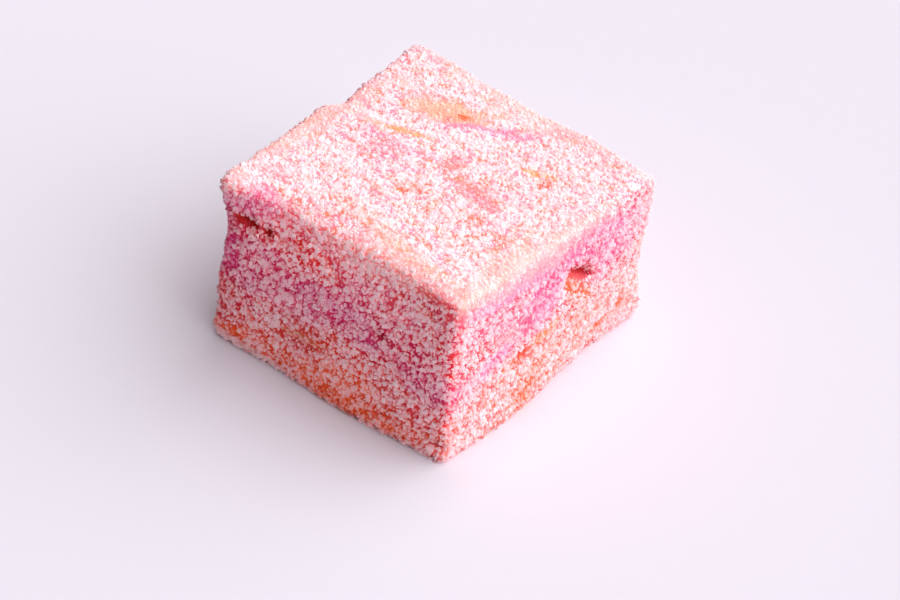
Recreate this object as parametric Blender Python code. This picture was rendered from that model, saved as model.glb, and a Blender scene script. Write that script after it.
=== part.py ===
"""A square-cut marshmallow: one soft block, sliced by hand from a poured slab.

The block stands on its flat base at z = 0, with its middle over the origin. Its front
faces -Y. Sizes are in millimetres until a point is written to the mesh in metres.

The form is worked out in four steps: a cube with a fine grid on its faces becomes a
rounded block, the block is skewed onto the corners that the knife left, a fold and a
set of soft swells and hollows are pressed into it, and the whole is made a little uneven.
"""

import math
from typing import NamedTuple

import bmesh
import bpy
from mathutils import Vector, noise

MM = 0.001

HEIGHT = 30.0
# Plan corners in the order front left, front right, back right, back left.
TOP_CORNERS = ((-23.9, -25.2), (24.0, -25.0), (26.4, 23.2), (-25.9, 27.6))
BASE_CORNERS = ((-22.7, -26.4), (24.8, -26.4), (25.0, 25.6), (-24.8, 26.6))
NOMINAL_HALF_SIDE = 25.0  # of the block before it is skewed onto these corners

GRID_CUTS = 25  # lines across each face of the starting cube
GRID_CROWDING = 0.72  # 0 spaces the lines evenly, 1 crowds them hard against the edges

# How far the rounding of each edge reaches in from the face it starts on.
SIDE_EDGE_RADIUS = 1.2
TOP_EDGE_RADIUS = 1.9
BASE_EDGE_RADIUS = 0.8

# The slab was folded over itself as it was poured. The crease starts at the left edge and
# climbs towards the back as it runs right, and dies out past the middle of the top.
FOLD_START = (-24.5, 3.6)
FOLD_END = (2.0, 11.5)
FOLD_BOW = 1.4  # how far the crease sags towards the front between its ends
FOLD_LIP = 0.8  # height of the rolled lip, in front of the crease
FOLD_LIP_WIDTH = 4.5
FOLD_VALLEY = 1.0  # depth of the valley behind the crease
FOLD_VALLEY_REACH = 5.5
FOLD_STEP_WIDTH = 1.4  # from the foot of the valley to the lip
FOLD_PINCH = 1.7  # how far the crease pulls the left face in
FOLD_PINCH_REACH = 9.0

UNEVENNESS = 0.45
UNEVENNESS_SPACING = 11.0
RIPPLE = 0.16
RIPPLE_SPACING = 3.6
BASE_STAYS_FLAT_BELOW = 1.2



class Swell(NamedTuple):
    """A soft swell or hollow in the skin, which fades out like a bell curve."""

    middle: tuple
    reach: tuple  # how far it spreads along x, y and z
    push: tuple  # which way the skin moves at its middle, and how far


FRONT_FACE = (
    Swell((5.0, -26.0, 1.5), (9.5, 6.0, 5.0), (0.0, -0.8, 0.0)),  # the foot bulges
    Swell((-20.0, -26.0, 2.4), (7.0, 5.0, 1.6), (-0.1, -0.5, 0.0)),  # lip by the left foot
    Swell((-14.5, -25.2, 30.0), (5.8, 4.4, 5.0), (0.0, 0.9, -2.0)),  # thumbed-down top edge
    Swell((-23.4, -25.4, 20.0), (3.2, 8.0, 6.0), (0.5, 0.3, 0.0)),
    Swell((9.0, -25.8, 19.0), (15.0, 5.0, 8.0), (0.0, -0.4, 0.0)),
    Swell((22.4, -26.2, 3.4), (3.4, 3.4, 1.2), (-0.2, 0.7, 0.0)),  # groove by the right foot
)
RIGHT_FACE = (
    Swell((25.0, -10.0, 1.5), (6.0, 9.0, 5.0), (0.8, 0.0, 0.0)),  # the foot bulges
    Swell((25.0, 11.0, 1.5), (5.0, 7.0, 5.0), (-0.8, 0.0, 0.0)),  # and then draws in
    Swell((25.0, 2.2, 0.8), (4.0, 1.5, 2.4), (-0.7, 0.0, 0.2)),  # nick in the foot
    Swell((25.2, 5.2, 18.9), (4.5, 3.2, 2.0), (-2.4, 0.0, 0.0)),  # burst bubble
    Swell((25.6, 24.0, 13.0), (4.0, 4.0, 6.5), (-0.5, -0.3, 0.0)),
    Swell((25.2, 25.0, 3.4), (3.0, 3.0, 2.4), (0.6, 0.2, 0.0)),
)
TOP_FACE = (
    Swell((13.0, 25.0, 30.0), (8.0, 5.0, 8.0), (0.0, 0.9, 0.3)),
    Swell((-25.2, -6.0, 27.0), (5.0, 7.0, 7.0), (-0.5, 0.0, 0.0)),
    Swell((-22.0, 24.0, 30.0), (6.0, 6.0, 5.0), (0.0, 0.0, 0.3)),
    Swell((6.0, 2.0, 30.0), (9.0, 3.2, 5.0), (0.0, 0.0, -0.55)),  # shallow pull mark
    Swell((-8.0, -11.0, 30.0), (9.0, 7.0, 5.0), (0.0, 0.0, 0.4)),
    Swell((20.0, 16.0, 30.0), (7.0, 7.0, 5.0), (0.0, 0.0, 0.3)),
)
LEFT_AND_BACK_FACES = (
    Swell((-25.0, 6.0, 13.0), (4.5, 8.0, 6.0), (0.9, 0.0, 0.0)),  # pressed in
    Swell((-25.0, -9.0, 9.0), (4.5, 9.0, 7.0), (-0.5, 0.0, 0.0)),
    Swell((-25.0, 17.0, 22.5), (4.5, 2.2, 1.6), (1.5, 0.0, 0.0)),  # burst bubble
    Swell((-6.0, 26.6, 10.0), (9.0, 5.0, 6.0), (0.0, 0.8, 0.0)),
    Swell((13.0, 26.0, 19.5), (2.4, 4.5, 1.7), (0.0, -1.8, 0.0)),  # burst bubble
    Swell((-15.0, 26.8, 20.0), (7.0, 5.0, 7.0), (0.0, -0.6, 0.0)),
)
SWELLS = FRONT_FACE + RIGHT_FACE + TOP_FACE + LEFT_AND_BACK_FACES


def smooth_step(value):
    """0 below 0, 1 above 1, and an even S between them."""
    value = min(max(value, 0.0), 1.0)
    return value * value * (3.0 - 2.0 * value)


def crowd(position):
    """Moves a grid line at -1 to 1 outwards, so that the lines are closest at the edges."""
    quarter_turn = math.pi / 2.0 * GRID_CROWDING
    return math.sin(position * quarter_turn) / math.sin(quarter_turn)


def rounded(place):
    """A point of the cube from -1 to 1, set on a block whose edges are rounded."""
    half = Vector((NOMINAL_HALF_SIDE, NOMINAL_HALF_SIDE, HEIGHT / 2.0))
    flat = Vector(crowd(side) * reach for side, reach in zip(place, half))
    end_radius = TOP_EDGE_RADIUS if flat.z > 0.0 else BASE_EDGE_RADIUS
    radii = Vector((SIDE_EDGE_RADIUS, SIDE_EDGE_RADIUS, end_radius))
    core = Vector(
        max(min(side, reach - radius), radius - reach)
        for side, reach, radius in zip(flat, half, radii)
    )
    way_out = Vector((side - inner) / radius for side, inner, radius in zip(flat, core, radii))
    way_out.normalize()
    return core + Vector(step * radius for step, radius in zip(way_out, radii))


def skewed(point):
    """The rounded block's point, moved so that its corners meet those of the cut slab."""
    right = (point.x / NOMINAL_HALF_SIDE + 1.0) / 2.0
    back = (point.y / NOMINAL_HALF_SIDE + 1.0) / 2.0
    up = (point.z / (HEIGHT / 2.0) + 1.0) / 2.0
    shares = ((1 - right) * (1 - back), right * (1 - back), right * back, (1 - right) * back)
    plan = Vector((0.0, 0.0))
    for share, top, base in zip(shares, TOP_CORNERS, BASE_CORNERS):
        plan += share * (up * Vector(top) + (1.0 - up) * Vector(base))
    return Vector((plan.x, plan.y, point.z + HEIGHT / 2.0))


def folded(point):
    """Lifts the lip of the fold and sinks the valley behind it."""
    start, end = Vector(FOLD_START), Vector(FOLD_END)
    run = (end - start).normalized()
    behind = Vector((-run.y, run.x))
    offset = point.xy - start
    along = offset.dot(run) / (end - start).length
    bow = FOLD_BOW * math.sin(math.pi * min(max(along, 0.0), 1.0))
    across = offset.dot(behind) + bow
    strength = 1.0 - smooth_step(along)
    near_top = smooth_step((point.z - 0.55 * HEIGHT) / (0.4 * HEIGHT))
    lip = FOLD_LIP * math.exp(-((across / FOLD_LIP_WIDTH + 0.6) ** 2))
    valley = -FOLD_VALLEY * math.exp(-max(across, 0.0) / FOLD_VALLEY_REACH)
    share = smooth_step(across / FOLD_STEP_WIDTH + 0.5)
    rise = strength * near_top * (lip * (1.0 - share) + valley * share)
    edge = smooth_step((-point.x - 18.0) / 6.0)
    pinch = FOLD_PINCH * math.exp(-max(across, 0.0) / FOLD_PINCH_REACH)
    return point + Vector((pinch * share * edge * near_top, 0.0, rise))


def swollen(point):
    """Adds the swells and hollows near the point."""
    moved = point.copy()
    for swell in SWELLS:
        apart = ((a - b) / c for a, b, c in zip(point, swell.middle, swell.reach))
        weight = math.exp(-sum(gap * gap for gap in apart))
        moved += weight * Vector(swell.push)
    return moved


def uneven(point, outwards):
    """Pushes the skin in and out a little along outwards, less so near the base."""
    broad = noise.noise(point / UNEVENNESS_SPACING + Vector((3.1, 7.7, 1.9)))
    fine = noise.noise(point / RIPPLE_SPACING + Vector((11.3, 2.6, 5.2)))
    firm = smooth_step(point.z / BASE_STAYS_FLAT_BELOW)
    way = Vector((outwards.x, outwards.y, firm * outwards.z))
    placed = point + (UNEVENNESS * broad + RIPPLE * fine) * way
    placed.z = max(placed.z, 0.0)
    return placed


def middle_of(places):
    """The point on the base under the middle of the box that holds the places."""
    lows = [min(place[axis] for place in places) for axis in range(2)]
    highs = [max(place[axis] for place in places) for axis in range(2)]
    return Vector(((lows[0] + highs[0]) / 2.0, (lows[1] + highs[1]) / 2.0, 0.0))


def block_mesh():
    """The closed mesh of the marshmallow, in metres, with its middle over the origin."""
    shape = bmesh.new()
    bmesh.ops.create_cube(shape, size=2.0)
    bmesh.ops.subdivide_edges(shape, edges=shape.edges[:], cuts=GRID_CUTS, use_grid_fill=True)
    for vertex in shape.verts:
        vertex.co = swollen(folded(skewed(rounded(vertex.co))))
    bmesh.ops.recalc_face_normals(shape, faces=shape.faces[:])
    shape.normal_update()
    places = [uneven(vertex.co, vertex.normal) for vertex in shape.verts]
    middle = middle_of(places)
    for vertex, place in zip(shape.verts, places):
        vertex.co = (place - middle) * MM
    mesh = bpy.data.meshes.new("marshmallow")
    shape.to_mesh(mesh)
    shape.free()
    mesh.shade_smooth()
    return mesh


def sugared_marshmallow():
    """Pale pink sugared marshmallow: matt, and soft enough for light to sink in."""
    material = bpy.data.materials.new("sugared_marshmallow")
    material.use_nodes = True
    surface = material.node_tree.nodes["Principled BSDF"]
    surface.inputs["Base Color"].default_value = (0.86, 0.42, 0.46, 1.0)
    surface.inputs["Roughness"].default_value = 0.7
    surface.inputs["Metallic"].default_value = 0.0
    return material


def main():
    """Clears the scene and builds the marshmallow in its own collection."""
    for leftover in list(bpy.data.objects):
        bpy.data.objects.remove(leftover, do_unlink=True)
    collection = bpy.data.collections.new("Marshmallow")
    bpy.context.scene.collection.children.link(collection)
    marshmallow = bpy.data.objects.new("marshmallow", block_mesh())
    marshmallow.data.materials.append(sugared_marshmallow())
    collection.objects.link(marshmallow)


main()
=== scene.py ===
"""A square-cut fruit marshmallow, swirled with dye and rolled in granulated sugar.

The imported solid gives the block's form and place. On it this script builds the foam, with its
burst bubbles and its ribbons of dye, and the coat of sugar, crystal by crystal. Sizes are in
millimetres until a mesh or a light is made, and faces are spoken of as a person sees them who
looks straight at each from outside.
"""

import logging
import math
from collections.abc import Iterator
from dataclasses import dataclass, field
from enum import Enum

import bpy
import numpy as np
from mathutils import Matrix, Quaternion, Vector, noise
from mathutils.kdtree import KDTree


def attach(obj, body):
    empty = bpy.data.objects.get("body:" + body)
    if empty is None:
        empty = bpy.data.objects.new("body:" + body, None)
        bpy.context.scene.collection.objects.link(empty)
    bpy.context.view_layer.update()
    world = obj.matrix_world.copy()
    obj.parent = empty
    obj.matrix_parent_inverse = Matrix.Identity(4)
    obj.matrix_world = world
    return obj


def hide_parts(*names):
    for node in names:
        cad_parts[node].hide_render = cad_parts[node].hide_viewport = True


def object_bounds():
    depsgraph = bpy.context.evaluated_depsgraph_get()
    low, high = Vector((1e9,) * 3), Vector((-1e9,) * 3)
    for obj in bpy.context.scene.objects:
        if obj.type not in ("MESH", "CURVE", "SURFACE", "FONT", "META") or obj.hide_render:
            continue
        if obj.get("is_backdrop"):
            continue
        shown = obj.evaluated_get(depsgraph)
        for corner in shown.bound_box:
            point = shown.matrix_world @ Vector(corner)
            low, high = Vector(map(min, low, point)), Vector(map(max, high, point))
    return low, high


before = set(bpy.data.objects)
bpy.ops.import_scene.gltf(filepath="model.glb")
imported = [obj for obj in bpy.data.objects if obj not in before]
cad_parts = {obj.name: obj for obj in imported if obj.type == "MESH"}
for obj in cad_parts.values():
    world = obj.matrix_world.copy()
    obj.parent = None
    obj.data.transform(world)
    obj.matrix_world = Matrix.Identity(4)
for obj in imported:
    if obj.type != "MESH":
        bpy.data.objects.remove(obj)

MM = 0.001
NODE = "marshmallow"
FOAM_PIECE = "marshmallow_foam"
BODY = "root"
CUT = "cut"  # 1 on the cut sides and 0 on top
DYE_AND_BOUNCE = "taken_up"  # partly dye, partly painted pink light from the foam
BAKE_MAP = "OFBake"  # the name of the map for baking
MAP_MARGIN = 0.01  # round each panel of the map
SQUARE_MARGIN = 0.12  # round each crystal in its square of the map
SQUARE_SLANT = (1.0, 0.37, 0.21)  # the way a crystal is looked at there, so no corners coincide
SQUARE_LEAN = 0.2  # how far its level edges lean there
SPECK_SPACING = 1.8  # from one speck of puree to the next, in mm
EDGE_LOSS = 0.8  # how much the rounding of the edges takes off a corner's height
FLATTEST_CUT = 0.85  # skin whose normal rises less than this is cut, not poured
CUT_EDGE = 0.5  # how much less it rises where the cut begins in full

# Sockets of a Mix node that has its colours showing, by place, because three share each name.
MIX_FACTOR, MIX_A, MIX_B, MIX_OUT = 0, 6, 7, 2

log = logging.getLogger("marshmallow")


def linear(code: str) -> tuple[float, float, float, float]:
    """Turns an sRGB hex colour into the linear colour that Blender works in.

    Args:
        code: The colour, such as "#FFCC00".

    Returns:
        Red, green, blue and an alpha of 1.
    """
    parts = (int(code[i : i + 2], 16) / 255.0 for i in (1, 3, 5))
    red, green, blue = (c / 12.92 if c <= 0.04045 else ((c + 0.055) / 1.055) ** 2.4 for c in parts)
    return red, green, blue, 1.0


def add_node(
    tree: bpy.types.NodeTree, kind: str, inputs: dict | None = None, **settings
) -> bpy.types.Node:
    """Adds one node with its settings and links.

    Args:
        tree: The tree that gets the node.
        kind: The node's type, such as "ShaderNodeMix".
        inputs: Each input's name or number, with the value it takes or the socket it is fed by.
        **settings: The node's own properties.

    Returns:
        The new node.
    """
    node = tree.nodes.new(kind)
    for name, value in settings.items():
        setattr(node, name, value)
    for key, value in (inputs or {}).items():
        if isinstance(value, bpy.types.NodeSocket):
            tree.links.new(value, node.inputs[key])
        else:
            node.inputs[key].default_value = value
    return node


def new_material(name: str, sockets: dict) -> tuple[bpy.types.Material, bpy.types.Node]:
    """Makes a material.

    Args:
        name: The material's name.
        sockets: Each of its shader's sockets that takes a value, with the value.

    Returns:
        The material and its shader.
    """
    material = bpy.data.materials.new(name)
    material.use_nodes = True
    surface = material.node_tree.nodes["Principled BSDF"]
    for socket, value in sockets.items():
        surface.inputs[socket].default_value = value
    return material, surface


def smooth_step(value: np.ndarray) -> np.ndarray:
    """0 below 0, 1 above 1, and an even S between them."""
    value = np.clip(value, 0.0, 1.0)
    return value * value * (3.0 - 2.0 * value)


def noise_at(points: np.ndarray, spacing: float, seed: int) -> np.ndarray:
    """Smooth noise from -1 to 1 at each point.

    Args:
        points: Places in millimetres, one row each.
        spacing: Millimetres from one swell of the noise to the next.
        seed: Picks a different noise for each use.

    Returns:
        One value for each point.
    """
    shift = np.array((17.3, 5.9, 29.1)) * seed
    return np.array([noise.noise(Vector(place)) for place in points / spacing + shift])


def cut_share(normals: np.ndarray) -> np.ndarray:
    """1 where the skin faces sideways or down, as a cut side does, and 0 where it faces up."""
    return smooth_step((FLATTEST_CUT - normals[:, 2]) / CUT_EDGE)


def read_rows(items: bpy.types.bpy_prop_collection, name: str, kind: type = float) -> np.ndarray:
    """Reads one triple from each part of a mesh.

    Args:
        items: The mesh's vertices, faces or triangles.
        name: What the triple is called.
        kind: Whether it is of whole numbers or not.

    Returns:
        The triples, one row each.
    """
    rows = np.empty(len(items) * 3, np.int32 if kind is int else np.float32)
    items.foreach_get(name, rows)
    return rows.reshape(-1, 3).astype(kind)


def corner_vertices(mesh: bpy.types.Mesh) -> np.ndarray:
    """Reads which vertex is at each corner of each face.

    Args:
        mesh: The mesh to read.

    Returns:
        The vertices' numbers, in the order of the faces' corners.
    """
    corners = np.empty(len(mesh.loops), np.int32)
    mesh.loops.foreach_get("vertex_index", corners)
    return corners


def read_mesh(mesh: bpy.types.Mesh) -> tuple[np.ndarray, np.ndarray, np.ndarray]:
    """Reads a mesh.

    Args:
        mesh: The mesh to read.

    Returns:
        Its points in millimetres, its vertex normals, and its triangles' vertex numbers.
    """
    mesh.calc_loop_triangles()
    points = read_rows(mesh.vertices, "co") / MM
    normals = read_rows(mesh.vertex_normals, "vector")
    return points, normals, read_rows(mesh.loop_triangles, "vertices", int)


def write_points(mesh: bpy.types.Mesh, points: np.ndarray) -> None:
    """Moves the mesh's vertices to these points, which are in millimetres."""
    mesh.vertices.foreach_set("co", (points * MM).astype(np.float32).ravel())
    mesh.update()


def write_map(mesh: bpy.types.Mesh, places: np.ndarray) -> None:
    """Stores each face corner's place in the map for baking."""
    layer = mesh.uv_layers.new(name=BAKE_MAP)
    layer.uv.foreach_set("vector", places.astype(np.float32).ravel())


def write_values(mesh: bpy.types.Mesh, name: str, values: np.ndarray) -> None:
    """Stores one number for each vertex under this name, for the mesh's material to read."""
    layer = mesh.attributes.new(name, "FLOAT", "POINT")
    layer.data.foreach_set("value", np.ascontiguousarray(values, np.float32))


def new_piece(mesh: bpy.types.Mesh, material: bpy.types.Material) -> bpy.types.Object:
    """Makes a piece of the marshmallow.

    Args:
        mesh: The piece's mesh, in metres, which gives it its name.
        material: What it is made of.

    Returns:
        The piece, riding on the part's one body.
    """
    mesh.materials.clear()
    mesh.materials.append(material)
    piece = bpy.data.objects.new(mesh.name, mesh)
    bpy.context.scene.collection.objects.link(piece)
    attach(piece, BODY)
    return piece


class Face(Enum):
    """A face of the block, by its corners: upper left, upper right, lower right, lower left.

    Each corner says which way it lies along X, Y and Z. A person looks at the sides upright, at
    the top from the front, and at the base with the front edge uppermost.
    """

    FRONT = ((-1, -1, 1), (1, -1, 1), (1, -1, -1), (-1, -1, -1))
    RIGHT = ((1, -1, 1), (1, 1, 1), (1, 1, -1), (1, -1, -1))
    BACK = ((1, 1, 1), (-1, 1, 1), (-1, 1, -1), (1, 1, -1))
    LEFT = ((-1, 1, 1), (-1, -1, 1), (-1, -1, -1), (-1, 1, -1))
    TOP = ((-1, 1, 1), (1, 1, 1), (1, -1, 1), (-1, -1, 1))
    BASE = ((-1, -1, -1), (1, -1, -1), (1, 1, -1), (-1, 1, -1))


@dataclass(frozen=True)
class Sheet:
    """Where one face of the block lies: its corners, and its directions as it is looked at."""

    corners: np.ndarray
    rightwards: np.ndarray
    downwards: np.ndarray
    outwards: np.ndarray

    @classmethod
    def through(cls, corners: np.ndarray) -> "Sheet":
        """Lays a sheet through four corners.

        Args:
            corners: The corners, from the upper left and clockwise.

        Returns:
            The sheet.
        """
        upper_left, upper_right, lower_right, lower_left = corners
        across = (upper_right - upper_left) + (lower_right - lower_left)
        across /= np.linalg.norm(across)
        down = (lower_left - upper_left) + (lower_right - upper_right)
        out = np.cross(down, across)
        out /= np.linalg.norm(out)
        return cls(corners, across, np.cross(across, out), out)

    def point(self, across: float, down: float) -> np.ndarray:
        """Finds a place on the sheet.

        Args:
            across: Millimetres from the left edge.
            down: Millimetres from the upper edge.

        Returns:
            The place.
        """
        upper_left, upper_right, lower_right, lower_left = self.corners
        wide = np.linalg.norm(upper_right - upper_left) + np.linalg.norm(lower_right - lower_left)
        high = np.linalg.norm(lower_left - upper_left) + np.linalg.norm(lower_right - upper_right)
        u, v = 2.0 * across / wide, 2.0 * down / high
        upper = upper_left * (1 - u) + upper_right * u
        lower = lower_left * (1 - u) + lower_right * u
        return upper * (1 - v) + lower * v

    def local(self, points: np.ndarray, across: float, down: float, turn: float) -> np.ndarray:
        """Places seen from a spot on the sheet.

        Args:
            points: Places in millimetres, one row each.
            across: Where the spot is, from the left edge.
            down: Where the spot is, from the upper edge.
            turn: Degrees by which its long way is turned up from level, counter-clockwise.

        Returns:
            For each point, how far it lies along the spot's long way, its short way and outwards.
        """
        angle = math.radians(turn)
        along = self.rightwards * math.cos(angle) - self.downwards * math.sin(angle)
        aside = self.rightwards * math.sin(angle) + self.downwards * math.cos(angle)
        return (points - self.point(across, down)) @ np.stack([along, aside, self.outwards], 1)


@dataclass
class Block:
    """The cut block as packed: its mesh, its corners and its faces."""

    node: bpy.types.Object
    points: np.ndarray = field(init=False)
    faces: dict[Face, Sheet] = field(init=False)

    def __post_init__(self) -> None:
        """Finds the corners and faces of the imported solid."""
        self.points = read_mesh(self.node.data)[0]
        self.faces = {face: self.sheet(face) for face in Face}

    def corner(self, way: tuple[int, int, int]) -> np.ndarray:
        """Where the corner along this diagonal would be if its edges were not rounded."""
        nearest = self.points[np.argmax(self.points @ np.array(way, float))]
        return nearest + np.array((0.0, 0.0, EDGE_LOSS * way[2]))

    def sheet(self, face: Face) -> Sheet:
        """The sheet through this face's four corners."""
        return Sheet.through(np.array([self.corner(way) for way in face.value]))


class Dye(Enum):
    """The fruit purees in the foam, each with the colour it sets to, in the order they cover."""

    ROSE = "#FF8590"
    PEACH = "#FFB49A"
    HONEY = "#FF9E58"
    LILAC = "#F985B6"
    MAGENTA = "#E01A74"
    CORAL = "#FF5A0C"
    CRIMSON = "#D80820"
    CREAM = "#FFC1BC"
    # deep red for the floors of burst holes: partly the puree's colour, partly painted shade of
    # the hollow
    CHERRY = "#C80006"

    @property
    def channel(self) -> str:
        """The name under which a mesh keeps how much of this dye each vertex has."""
        return "dye_" + self.name.lower()


RIBBON_END = 1.35  # where a ribbon has faded out, with its reach as 1
RIBBON_FADE = 0.9  # over how much of its reach it fades
THIN_RIBBON = 4.0  # narrower ribbons than this stray less sideways


@dataclass(frozen=True)
class Ribbon:
    """A ribbon of dyed foam where it meets the skin, and how thinly the sugar covers it.

    Below nought, bare means that more sugar than elsewhere lies there.
    """

    across: float
    down: float
    long: float
    wide: float
    dye: Dye
    strength: float
    turn: float = 0.0
    bare: float = 0.0
    deep: float = 5.0

    def weight(self, sheet: Sheet, points: np.ndarray, wander: np.ndarray) -> np.ndarray:
        """How fully each point lies in the ribbon, from 0 to 1.

        Args:
            sheet: The face that the ribbon lies on.
            points: Places in millimetres, one row each.
            wander: How far the ribbons' outlines stray at each point, in three directions.

        Returns:
            One value for each point.
        """
        place = sheet.local(points, self.across, self.down, self.turn)
        reach = np.array((self.long, self.wide, self.deep))
        stray = wander * np.array((1.0, min(1.0, self.wide / THIN_RIBBON), 0.0))
        gap = np.sqrt((((place + stray) / reach) ** 2).sum(1))
        return smooth_step((RIBBON_END - gap) / RIBBON_FADE)


# Most ribbons are dye; those marked below also paint shade or light onto the skin.
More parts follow.
